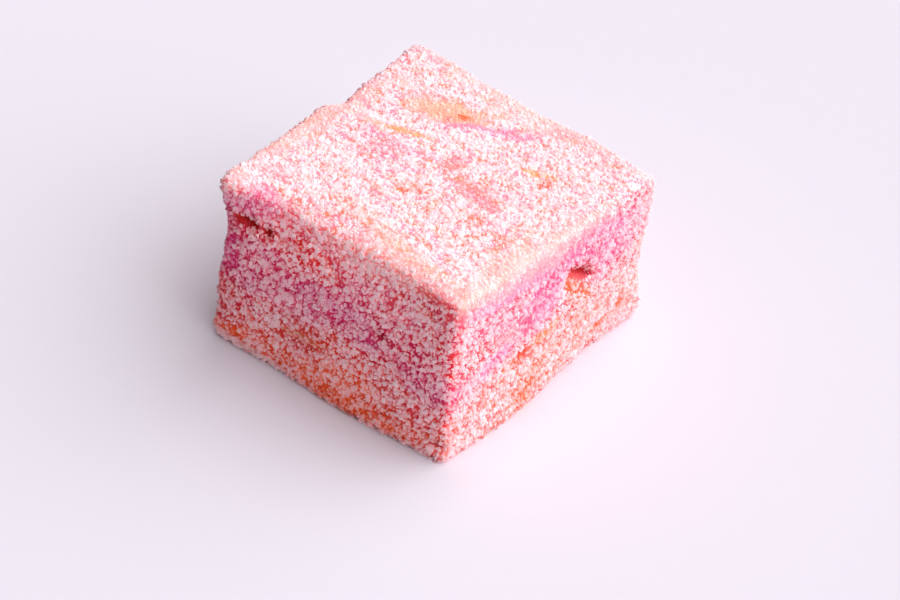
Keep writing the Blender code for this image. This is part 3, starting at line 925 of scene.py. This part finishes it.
@dataclass
class Foam:
    """The marshmallow itself: the cut block with its pores, fibres and burst bubbles."""

    block: Block
    swirl: Swirl
    finish: WhippedFoam = WhippedFoam()
    bursts: tuple[Burst, ...] = BURSTS
    dents: tuple[Dent, ...] = DENTS
    grain: float = 0.40  # width of the mesh's squares
    inset: float = 0.16  # the skin lies this far in, to leave the sugar room
    swell: float = 0.10
    swell_spacing: float = 2.6
    crumb: float = 0.07
    crumb_spacing: float = 1.1
    raggedness: float = 0.28
    raggedness_spacing: float = 0.9

    def worked(self, mesh: bpy.types.Mesh, name: str, **steps: dict) -> bpy.types.Mesh:
        """Makes a new mesh of this one.

        Args:
            mesh: The mesh to start from.
            name: The new mesh's name.
            **steps: The kinds of modifier to use, in order, each with its settings.

        Returns:
            The new mesh.
        """
        item = bpy.data.objects.new("draft", mesh)
        bpy.context.scene.collection.objects.link(item)
        for kind, settings in steps.items():
            step = item.modifiers.new(kind, kind)
            for setting, value in settings.items():
                setattr(step, setting, value)
        graph = bpy.context.evaluated_depsgraph_get()
        result = bpy.data.meshes.new_from_object(item.evaluated_get(graph))
        result.name = name
        bpy.data.objects.remove(item)
        return result

    def holed(self) -> bpy.types.Mesh:
        """Pushes the burst bubbles and the dents into the block.

        Returns:
            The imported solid's mesh, copied and made finer, with its hollows.
        """
        weld, finer = {"merge_threshold": 0.001 * MM}, {"levels": 2, "render_levels": 2}
        mesh = self.worked(self.block.node.data.copy(), "holed", WELD=weld, SUBSURF=finer)
        points, normals, _ = read_mesh(mesh)
        ragged = self.ragged(points)
        moved = points - self.inset * normals
        for burst in self.bursts:
            share = burst.inside(self.block, points, ragged)
            moved += share[:, None] * burst.push(self.block)
        for dent in self.dents:
            moved += dent.push(self.block, points)
        write_points(mesh, moved)
        return mesh

    def ragged(self, points: np.ndarray) -> np.ndarray:
        """How far the rims of the holes stray at each point, as a share of their size."""
        return self.raggedness * noise_at(points, self.raggedness_spacing, 8)

    def holes(self, points: np.ndarray) -> np.ndarray:
        """How far inside a burst bubble each point lies, from 0 to 1."""
        ragged = self.ragged(points)
        return np.max([burst.inside(self.block, points, ragged) for burst in self.bursts], 0)

    def even(self, mesh: bpy.types.Mesh) -> bpy.types.Mesh:
        """Lays the skin out anew in squares of one size.

        Args:
            mesh: The skin.

        Returns:
            The new mesh, under the name of the finished piece.
        """
        squares = {"mode": "VOXEL", "voxel_size": self.grain * MM}
        relax = {"factor": 0.5, "iterations": 2}
        return self.worked(mesh, FOAM_PIECE, REMESH=squares, SMOOTH=relax)

    def lay_map(self, mesh: bpy.types.Mesh) -> None:
        """Lays the skin out flat for baking: each corner goes to the panel of the side it faces.

        Args:
            mesh: The skin, which gets the map.
        """
        points = read_mesh(mesh)[0]
        normals = read_rows(mesh.polygons, "normal")
        axis = np.abs(normals).argmax(1)
        side = 2 * axis + (normals[np.arange(len(axis)), axis] > 0)
        side = np.repeat(side, [face.loop_total for face in mesh.polygons])
        unit = (points[corner_vertices(mesh)] - points.min(0)) / np.ptp(points, axis=0).max()
        rows = np.arange(len(unit))
        first, second = np.array(((1, 2), (0, 2), (0, 1)))[side // 2].T
        flat = np.stack([unit[rows, first], unit[rows, second]], 1)
        panel = np.stack([side % 3, side // 3], 1)
        write_map(mesh, (panel + MAP_MARGIN + (1 - 2 * MAP_MARGIN) * flat) / (3.0, 2.0))

    def build(self) -> bpy.types.Object:
        """Builds the finished foam.

        Returns:
            One piece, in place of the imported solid.
        """
        mesh = self.even(self.holed())
        points, normals, _ = read_mesh(mesh)
        relief = self.swell * noise_at(points, self.swell_spacing, 5)
        relief += self.crumb * noise_at(points, self.crumb_spacing, 6)
        write_points(mesh, points + relief[:, None] * normals)
        self.swirl.stain(mesh, points, normals)
        self.lay_map(mesh)
        mesh.shade_smooth()
        piece = new_piece(mesh, self.finish.material())
        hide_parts(NODE)
        return piece


class CrystalForm(Enum):
    """The shapes that sugar crystals come in: corners in a unit box, and faces by corner."""

    BLOCK = (
        tuple((x, y, z) for z in (-1, 1) for x, y in ((-1, -1), (1, -1), (1, 1), (-1, 1))),
        ((3, 2, 1, 0), (4, 5, 6, 7), (0, 1, 5, 4), (1, 2, 6, 5), (2, 3, 7, 6), (3, 0, 4, 7)),
    )
    WEDGE = (
        tuple((x, y, z) for z in (-1, 1) for x, y in ((-1, -1), (1, -1), (0, 1))),
        ((2, 1, 0), (3, 4, 5), (0, 1, 4, 3), (1, 2, 5, 4), (2, 0, 3, 5)),
    )
    GRIT = (
        ((-1, 0, 0), (1, 0, 0), (0, -1, 0), (0, 1, 0), (0, 0, -1), (0, 0, 1)),
        ((0, 2, 5), (2, 1, 5), (1, 3, 5), (3, 0, 5), (2, 0, 4), (1, 2, 4), (3, 1, 4), (0, 3, 4)),
    )

    @property
    def corners(self) -> np.ndarray:
        """The form's corners, with half a unit from the middle to each side."""
        return np.array(self.value[0], float) / 2.0

    @property
    def faces(self) -> tuple[tuple[int, ...], ...]:
        """The form's faces, each as corner numbers, counter-clockwise from outside."""
        return self.value[1]


@dataclass(frozen=True)
class CrystalKind:
    """One kind of crystal in the coat, all of it in one piece."""

    name: str
    form: CrystalForm
    most: int  # how many there can be, for fewer than 200,000 triangles
    small: float  # width of the smallest
    large: float  # width of the largest
    flatness: tuple[float, float, float]  # length, width and height as shares of the width
    draws: tuple[float, float] = (0.0, 1.0)  # which draws pick it for a seat in the first layer
    loose: float = 1.0  # its share of the loose crystals
    chipped: float = 0.16  # how far each corner strays, as a share of the width


@dataclass(frozen=True)
class Seat:
    """Seats of crystals on the skin: where each is, and what the skin is like there."""

    places: np.ndarray
    normals: np.ndarray
    gap: np.ndarray  # how likely no crystal stuck there, from 0 to 1
    melt: np.ndarray  # how far the crystals there have melted into the foam, from 0 to 1

    def only(self, which: np.ndarray | slice) -> "Seat":
        """The seats that are picked."""
        return Seat(*(column[which] for column in vars(self).values()))

    def and_then(self, other: "Seat") -> "Seat":
        """These seats followed by the others."""
        return Seat(*map(np.concatenate, zip(vars(self).values(), vars(other).values())))

    def __len__(self) -> int:
        """How many seats there are."""
        return len(self.places)


BLOCKS = CrystalKind(
    "sugar_blocks", CrystalForm.BLOCK, 16_000, 0.44, 0.74, (1.0, 0.86, 0.76), (0.0, 0.32), 0.15
)
TABLETS = CrystalKind(
    "sugar_tablets", CrystalForm.BLOCK, 16_000, 0.44, 0.70, (1.15, 0.88, 0.56), (0.32, 0.62), 0.2
)
WEDGES = CrystalKind(
    "sugar_chips", CrystalForm.WEDGE, 24_000, 0.38, 0.64, (1.0, 0.9, 0.7), (0.62, 1.0), 0.6
)
GRIT = CrystalKind("sugar_grit", CrystalForm.GRIT, 24_000, 0.20, 0.36, (1.0, 0.9, 0.8))


@dataclass(frozen=True)
class Clump:
    """A crumb of crystals stuck together that stands up from the coat."""

    face: Face
    across: float
    down: float
    reach: float
    count: int


CLUMPS = (
    Clump(Face.FRONT, 0.2, 10.0, 0.8, 12),
    Clump(Face.LEFT, 52.5, 10.0, 0.9, 16),
    Clump(Face.TOP, 26.0, 12.5, 1.6, 26),
    Clump(Face.TOP, 41.0, 33.5, 1.4, 20),
    Clump(Face.BACK, 20.0, 20.0, 1.4, 20),
)


@dataclass
class SugarCoat:
    """The coat of granulated sugar, laid crystal by crystal on the foam's skin."""

    foam: Foam
    swirl: Swirl
    finish: CaneSugar = CaneSugar()
    clumps: tuple[Clump, ...] = CLUMPS
    seed: int = 20
    spacing: float = 0.51  # between the middles of neighbours in the first layer
    tries: int = 150_000
    loose_tries: int = 40_000
    clump_spacing: float = 1.7
    top_clump_spacing: float = 1.15
    gap: float = 0.08  # how much of the skin no crystal stuck to
    clump_gap: float = 0.4  # how much more or less of it there is between clumps
    base_gap: float = 0.35  # how much more there is on the base
    bare_gap: float = 0.45  # how much more where a ribbon is bare
    hole_gap: float = 1.2  # how much more inside a burst bubble
    first_height: tuple[float, float] = (0.0, 0.4)  # how high the first layer sits
    loose_height: tuple[float, float] = (0.45, 0.95)  # how high loose crystals on it sit
    crumb_height: tuple[float, float] = (0.5, 2.2)
    grit_height: tuple[float, float] = (0.2, 1.6)
    loose_fallen: float = 0.35  # how many of the loose crystals fell off again
    loose_gap: float = 1.2  # how many more did where the coat is thin
    grit_fallen: float = 0.15
    grit_gap: float = 0.6
    grit_cut: float = 0.5  # how many more did on the cut sides
    wear: float = 0.15  # 0 leaves the crystals' faces flat, and 1 rounds them like pebbles
    clearness: float = 0.42  # how far light that goes through them evens out their shading
    cut_clearness: float = 0.08  # how much further it does on the cut sides
    tilt: float = 0.28  # how far crystals lean, as a share of their height
    shrink: float = 0.25  # how much smaller crystals are that have melted into the foam
    sink: float = 0.45  # how much lower they sit, as a share of their height
    foot_tint_level: float = 0.68  # up to where the foot's tint reaches, as a share of the largest width
    foot: float = 0.72  # how much more tint a crystal has at its foot: painted pink shade, partly dye
    cut_foot: float = 0.2  # how much more of it again on the cut sides
    dyed: float = 0.06  # how much tint the whole of each crystal has: partly dye, partly painted pink light
    cut_dyed: float = 0.11  # how much more on the cut sides: painted pink light bounced from the foam, partly dye
    ribbon_dyed: float = 0.2  # how much more on a ribbon
    melt_dyed: float = 0.35  # how much more where it has melted into the foam
    dyed_spread: float = 0.05
    rng: np.random.Generator = field(init=False)
    skin: tuple[np.ndarray, np.ndarray, np.ndarray] = field(init=False)
    material: bpy.types.Material = field(init=False)

    def __post_init__(self) -> None:
        """Seeds the draws and reads the skin."""
        self.rng = np.random.default_rng(self.seed)
        self.skin = read_mesh(bpy.data.objects[FOAM_PIECE].data)
        self.material = self.finish.material()

    def scattered(self, count: int) -> Seat:
        """Spreads seats evenly at random over the skin.

        Args:
            count: How many seats.

        Returns:
            All the seats, before any is left out.
        """
        points, normals, triangles = self.skin
        a, b, c = (points[triangles[:, i]] for i in range(3))
        areas = np.linalg.norm(np.cross(b - a, c - a), axis=1)
        chosen = self.rng.choice(len(triangles), count, p=areas / areas.sum())
        first = np.sqrt(self.rng.random(count))
        second = self.rng.random(count)
        shares = np.stack([1 - first, first * (1 - second), first * second], 1)
        corners = triangles[chosen]
        places = (points[corners] * shares[:, :, None]).sum(1)
        ways = (normals[corners] * shares[:, :, None]).sum(1)
        ways /= np.linalg.norm(ways, axis=1, keepdims=True)
        melt = self.swirl.bareness(places)
        holes = self.foam.holes(places)
        gap = self.gaps(places, ways) + self.bare_gap * melt + self.hole_gap * holes
        gap = np.clip(gap, 0.0, 1.0)
        return Seat(places, ways, gap, np.maximum(melt, holes))

    def gaps(self, places: np.ndarray, normals: np.ndarray) -> np.ndarray:
        """Finds how thin the coat is between clumps, and on the base.

        Args:
            places: Places in millimetres, one row each.
            normals: Which way the skin faces there.

        Returns:
            How likely no crystal stuck to each place.
        """
        top = 1.0 - cut_share(normals)
        base = smooth_step((-normals[:, 2] - 0.5) / 0.4)
        clumps = noise_at(places, self.clump_spacing, 11)
        fine_clumps = noise_at(places, self.top_clump_spacing, 12)
        gaps = self.gap + self.clump_gap * (clumps + (1.0 + top) * fine_clumps)
        gaps += self.base_gap * base
        return np.maximum(gaps, 0.0)

    def spaced(self, seats: Seat, spacing: float) -> Seat:
        """Thins seats until none is close to another or in a gap in the coat.

        Args:
            seats: The seats to thin.
            spacing: Millimetres between neighbours, at least.

        Returns:
            The seats that are left.
        """
        tree = KDTree(len(seats))
        for number, place in enumerate(seats.places):
            tree.insert(place, number)
        tree.balance()
        free = self.rng.random(len(seats)) > seats.gap
        kept = np.zeros(len(seats), bool)
        for number, place in enumerate(seats.places):
            if free[number]:
                kept[number] = True
                for _, near, _ in tree.find_range(place, spacing):
                    free[near] = False
        return seats.only(kept)

    def clumped(self, seats: Seat) -> Seat:
        """Finds the seats that crumbs of stuck crystals take.

        Args:
            seats: The seats to choose from.

        Returns:
            The seats of all the crumbs, crumb by crumb.
        """
        taken = []
        for clump in self.clumps:
            spot = self.foam.block.faces[clump.face].point(clump.across, clump.down)
            gap = np.linalg.norm(seats.places - spot, axis=1)
            near = np.argsort(gap)[: clump.count * 3]
            near = near[gap[near] < clump.reach]
            taken.append(self.rng.permutation(near)[: clump.count])
        return seats.only(np.concatenate(taken))

    def turned(self, normals: np.ndarray, tilt: float) -> np.ndarray:
        """Random turns that leave each crystal lying roughly flat on the skin.

        Args:
            normals: Which way is up for each crystal.
            tilt: How far crystals lean, as a share of their height.

        Returns:
            One 3 by 3 matrix for each crystal, with its own axes as columns.
        """
        up = normals + tilt * self.rng.normal(size=normals.shape)
        up /= np.linalg.norm(up, axis=1, keepdims=True)
        side = np.cross(up, self.rng.normal(size=normals.shape))
        side /= np.linalg.norm(side, axis=1, keepdims=True)
        return np.stack([side, np.cross(up, side), up], 2)

    def lay(self, kind: CrystalKind, seats: Seat, lift: np.ndarray) -> bpy.types.Object:
        """Makes all the crystals of one kind.

        Args:
            kind: The crystals' form and sizes.
            seats: Where they sit.
            lift: How far each one's middle is above the skin, as a share of its height.

        Returns:
            The finished piece.
        """
        count, corners = len(seats), kind.form.corners
        melt = np.maximum(seats.melt, 0.0)
        widths = self.rng.uniform(kind.small, kind.large, count) * (1.0 - self.shrink * melt)
        shape = np.array(kind.flatness) * self.rng.uniform(0.8, 1.2, (count, 3))
        local = corners[None] * (widths[:, None] * shape)[:, None]
        chips = self.rng.random((count, len(corners), 3)) - 0.5
        local += kind.chipped * widths[:, None, None] * chips
        turns = self.turned(seats.normals, self.tilt)
        rise = (lift - self.sink * melt) * widths * kind.flatness[2]
        centres = seats.places + rise[:, None] * seats.normals
        points = centres[:, None] + np.einsum("nij,nkj->nki", turns, local)
        heights = ((points - seats.places[:, None]) * seats.normals[:, None]).sum(2)
        mesh = self.crystal_mesh(kind, points, seats.normals)
        strongest = self.swirl.stain(mesh, seats.places, seats.normals, len(corners))
        # each crystal's foot gets more of the foam's colour: painted pink shade low among its
        # neighbours, partly dye
        sunk = 1.0 - smooth_step(heights / (self.foot_tint_level * kind.large))
        taken_up = self.taken_up(seats, strongest)[:, None]
        foot = self.foot + self.cut_foot * cut_share(seats.normals)
        taken_up = np.clip(taken_up + foot[:, None] * sunk, 0.0, 1.0)
        write_values(mesh, DYE_AND_BOUNCE, taken_up.ravel())
        self.lay_map(mesh, local, sunk)
        piece = new_piece(mesh, self.material)
        piece.visible_shadow = False  # clear crystals let the light through to the foam
        return piece

    def taken_up(self, seats: Seat, strongest: np.ndarray) -> np.ndarray:
        """Finds how much of the foam's colour the whole of each crystal has: partly dye, partly
        painted pink light.

        Args:
            seats: Where the crystals sit.
            strongest: How strong the strongest dye is at each.

        Returns:
            One value for each crystal, which can fall outside 0 to 1.
        """
        own = self.dyed + self.cut_dyed * cut_share(seats.normals)
        own += self.ribbon_dyed * strongest + self.melt_dyed * seats.melt
        return own + self.rng.normal(0.0, self.dyed_spread, len(seats))

    def crystal_mesh(
        self, kind: CrystalKind, points: np.ndarray, normals: np.ndarray
    ) -> bpy.types.Mesh:
        """Makes one mesh of many crystals.

        Args:
            kind: The crystals' form.
            points: Each crystal's corners.
            normals: Which way the skin faces under each crystal.

        Returns:
            The mesh, shaded as worn crystals that light passes through are.
        """
        count, stride = points.shape[:2]
        firsts, form = range(0, count * stride, stride), kind.form.faces
        faces = [[first + corner for corner in face] for first in firsts for face in form]
        mesh = bpy.data.meshes.new(kind.name)
        mesh.from_pydata((points * MM).reshape(-1, 3), [], faces, shade_flat=False)
        facets = np.repeat(read_rows(mesh.polygons, "normal"), list(map(len, faces)), axis=0)
        outwards = (points - points.mean(1, keepdims=True)).reshape(-1, 3)
        outwards /= np.linalg.norm(outwards, axis=1, keepdims=True)
        clear = self.clearness + self.cut_clearness * cut_share(normals)[:, None]
        outwards = self.wear * outwards + np.repeat(clear * normals, stride, axis=0)
        clear = np.repeat(clear, len(facets) // count, axis=0)
        worn = (1.0 - self.wear - clear) * facets + outwards[corner_vertices(mesh)]
        worn /= np.linalg.norm(worn, axis=1, keepdims=True)
        mesh.normals_split_custom_set(worn.tolist())
        return mesh

    def lay_map(self, mesh: bpy.types.Mesh, local: np.ndarray, sunk: np.ndarray) -> None:
        """Gives each crystal a square of its own for baking, with its sunk side at the bottom.

        Args:
            mesh: The crystals' mesh.
            local: Each crystal's corners round its own middle.
            sunk: How deep each corner sits in the coat, from 0 to 1.
        """
        side = math.ceil(math.sqrt(len(local)))
        cells = np.stack(np.divmod(np.arange(len(local)), side)[::-1], 1)
        slant = local @ np.array(SQUARE_SLANT)
        slant = (slant - slant.min()) / np.ptp(slant)
        rise = (1.0 - SQUARE_LEAN) * (1.0 - sunk) + SQUARE_LEAN * slant
        inside = SQUARE_MARGIN + (1.0 - 2.0 * SQUARE_MARGIN) * np.stack([slant, rise], 2)
        flat = ((cells[:, None] + inside) / side).reshape(-1, 2)
        write_map(mesh, flat[corner_vertices(mesh)])

    def build(self) -> list[bpy.types.Object]:
        """Lays the whole coat: a first layer side by side, loose crystals on it, and grit.

        Returns:
            One piece for each kind of crystal.
        """
        first = self.spaced(self.scattered(self.tries), self.spacing)
        draw = self.rng.random(len(first))
        loose = self.scattered(self.loose_tries)
        crumbs = self.clumped(loose)
        fallen = self.loose_fallen + self.loose_gap * loose.gap
        loose = loose.only(self.rng.random(len(loose)) > fallen)
        pieces = []
        for kind in (BLOCKS, TABLETS, WEDGES):
            low, high = kind.draws
            seats = first.only((draw >= low) & (draw < high)).only(slice(kind.most))
            extra = loose.only(self.rng.random(len(loose)) < kind.loose)
            extra = extra.only(slice(kind.most - len(seats)))
            lift = [self.rng.uniform(*self.first_height, len(seats))]
            lift.append(self.rng.uniform(*self.loose_height, len(extra)))
            seats = seats.and_then(extra)
            if kind is WEDGES:
                seats = crumbs.and_then(seats.only(slice(kind.most - len(crumbs))))
                lift.insert(0, self.rng.uniform(*self.crumb_height, len(crumbs)))
            pieces.append(self.lay(kind, seats, np.concatenate(lift)[: len(seats)]))
        grit = self.scattered(self.loose_tries)
        fallen = self.grit_fallen + self.grit_cut * cut_share(grit.normals)
        fallen += self.grit_gap * grit.gap
        grit = grit.only(self.rng.random(len(grit)) > fallen).only(slice(GRIT.most))
        pieces.append(self.lay(GRIT, grit, self.rng.uniform(*self.grit_height, len(grit))))
        return pieces


@dataclass(frozen=True)
class BackdropPaper:
    """Matt paper off a roll: its fibres scatter the light, so it shows no sheen and no seam."""

    name: str = "matt_backdrop_paper"
    colour: str = "#D8D5DF"
    roughness: float = 0.9
    specular: float = 0.1

    def material(self) -> bpy.types.Material:
        """Builds the paper's material."""
        look = {"Base Color": linear(self.colour), "Roughness": self.roughness}
        return new_material(self.name, look | {"Specular IOR Level": self.specular})[0]


@dataclass(frozen=True)
class Lamp:
    """A soft lamp far away: where it stands, how wide it looks from the block, and its light."""

    name: str
    azimuth: float  # degrees round from the front, to the right
    elevation: float
    spread: float  # degrees
    strength: float
    colour: str


@dataclass
class Studio:
    """A pale seamless floor, one broad soft lamp high on the right, and the camera."""

    azimuth: float = 34.8  # where the camera is, in degrees round from the front, to the right
    elevation: float = 38.7
    roll: float = 5.4
    distance: float = 403.0
    lens: float = 100.0
    sensor: float = 36.0
    clip: tuple[float, float] = (10.0, 8000.0)  # the nearest and the farthest that it sees
    aim: tuple[float, float, float] = (5.9, -2.1, 8.6)
    floor_radius: float = 2500.0
    floor_height: float = -0.05  # just under the block, so that the two don't coincide
    floor_corners: int = 96
    paper: BackdropPaper = BackdropPaper()
    horizon_colour: str = "#F4EFFB"
    horizon_band: tuple[float, float] = (0.065, 0.09)  # where the pale band ends, as sines
    sky_colour: str = "#FFEDF2"
    sky_strength: float = 0.075
    key: Lamp = Lamp("key", 126.0, 50.0, 94.0, 5.0, "#FFFDFD")

    def direction(self, azimuth: float, elevation: float) -> Vector:
        """The way from the block to something seen at this azimuth and elevation, in degrees."""
        turn, rise = math.radians(azimuth), math.radians(elevation)
        return Vector(
            (math.sin(turn) * math.cos(rise), -math.cos(turn) * math.cos(rise), math.sin(rise))
        )

    def camera(self) -> None:
        """Places the camera and makes it the scene's own."""
        data = bpy.data.cameras.new("camera")
        data.lens, data.sensor_width = self.lens, self.sensor
        data.clip_start, data.clip_end = (end * MM for end in self.clip)
        item = bpy.data.objects.new("camera", data)
        back = self.direction(self.azimuth, self.elevation)
        item.location = (Vector(self.aim) + back * self.distance) * MM
        item.rotation_mode = "QUATERNION"
        level = (-back).to_track_quat("-Z", "Y")
        item.rotation_quaternion = level @ Quaternion((0, 0, 1), math.radians(self.roll))
        bpy.context.scene.collection.objects.link(item)
        bpy.context.scene.camera = item

    def hang(self, lamp: Lamp) -> None:
        """Adds a lamp, so far away that its light is even over the whole floor.

        Args:
            lamp: Where it stands, and its light.
        """
        data = bpy.data.lights.new(lamp.name, "SUN")
        data.angle = math.radians(lamp.spread)
        data.energy = lamp.strength
        data.color = linear(lamp.colour)[:3]
        item = bpy.data.objects.new(lamp.name, data)
        way = self.direction(lamp.azimuth, lamp.elevation)
        item.location = way * self.distance * MM
        item.rotation_mode = "QUATERNION"
        item.rotation_quaternion = way.to_track_quat("Z", "Y")
        bpy.context.scene.collection.objects.link(item)

    def floor(self) -> None:
        """Lays the floor, a disc of paper."""
        bpy.ops.mesh.primitive_circle_add(
            vertices=self.floor_corners,
            radius=self.floor_radius * MM,
            fill_type="NGON",
            location=(0.0, 0.0, self.floor_height * MM),
        )
        item = bpy.context.object
        item.name = "floor"
        item.data.materials.append(self.paper.material())
        item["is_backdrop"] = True

    def sky(self) -> None:
        """Surrounds the scene with weak, even light, and a pale band where the floor ends."""
        world = bpy.data.worlds.new("studio")
        world.use_nodes = True
        tree = world.node_tree
        way = add_node(tree, "ShaderNodeTexCoord").outputs["Generated"]
        height = add_node(tree, "ShaderNodeSeparateXYZ", {0: way}).outputs["Z"]
        low, high = self.horizon_band
        band = {"Value": height, "From Min": low, "From Max": high}
        edge = add_node(tree, "ShaderNodeMapRange", band, interpolation_type="SMOOTHSTEP")
        dim = tuple(self.sky_strength * part for part in linear(self.sky_colour)[:3]) + (1.0,)
        both = {MIX_FACTOR: edge.outputs[0], MIX_A: linear(self.horizon_colour), MIX_B: dim}
        blend = add_node(tree, "ShaderNodeMix", both, data_type="RGBA").outputs[MIX_OUT]
        tree.links.new(blend, tree.nodes["Background"].inputs["Color"])
        bpy.context.scene.world = world

    def build(self) -> None:
        """Sets up the whole studio."""
        self.floor()
        self.sky()
        self.hang(self.key)
        self.camera()
        view = bpy.context.scene.view_settings
        view.view_transform, view.look = "Standard", "None"
        view.exposure, view.gamma = 0.0, 1.0


def write_sizes(packed: tuple[Vector, Vector]) -> None:
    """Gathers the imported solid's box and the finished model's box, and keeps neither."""
    boxes = {"cad": packed, "visual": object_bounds()}
    {name: [list(corner) for corner in box] for name, box in boxes.items()}


def main() -> None:
    """Builds the marshmallow and its studio, in order, and reports each piece."""
    logging.basicConfig(level=logging.INFO, format="%(name)s: %(message)s")
    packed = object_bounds()
    block = Block(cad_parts[NODE])
    swirl = Swirl(block)
    foam = Foam(block, swirl)
    pieces = [foam.build(), *SugarCoat(foam, swirl).build()]
    Studio().build()
    for piece in pieces:
        log.info("%s: %d faces", piece.name, len(piece.data.polygons))
    write_sizes(packed)


if __name__ == "__main__":
    main()
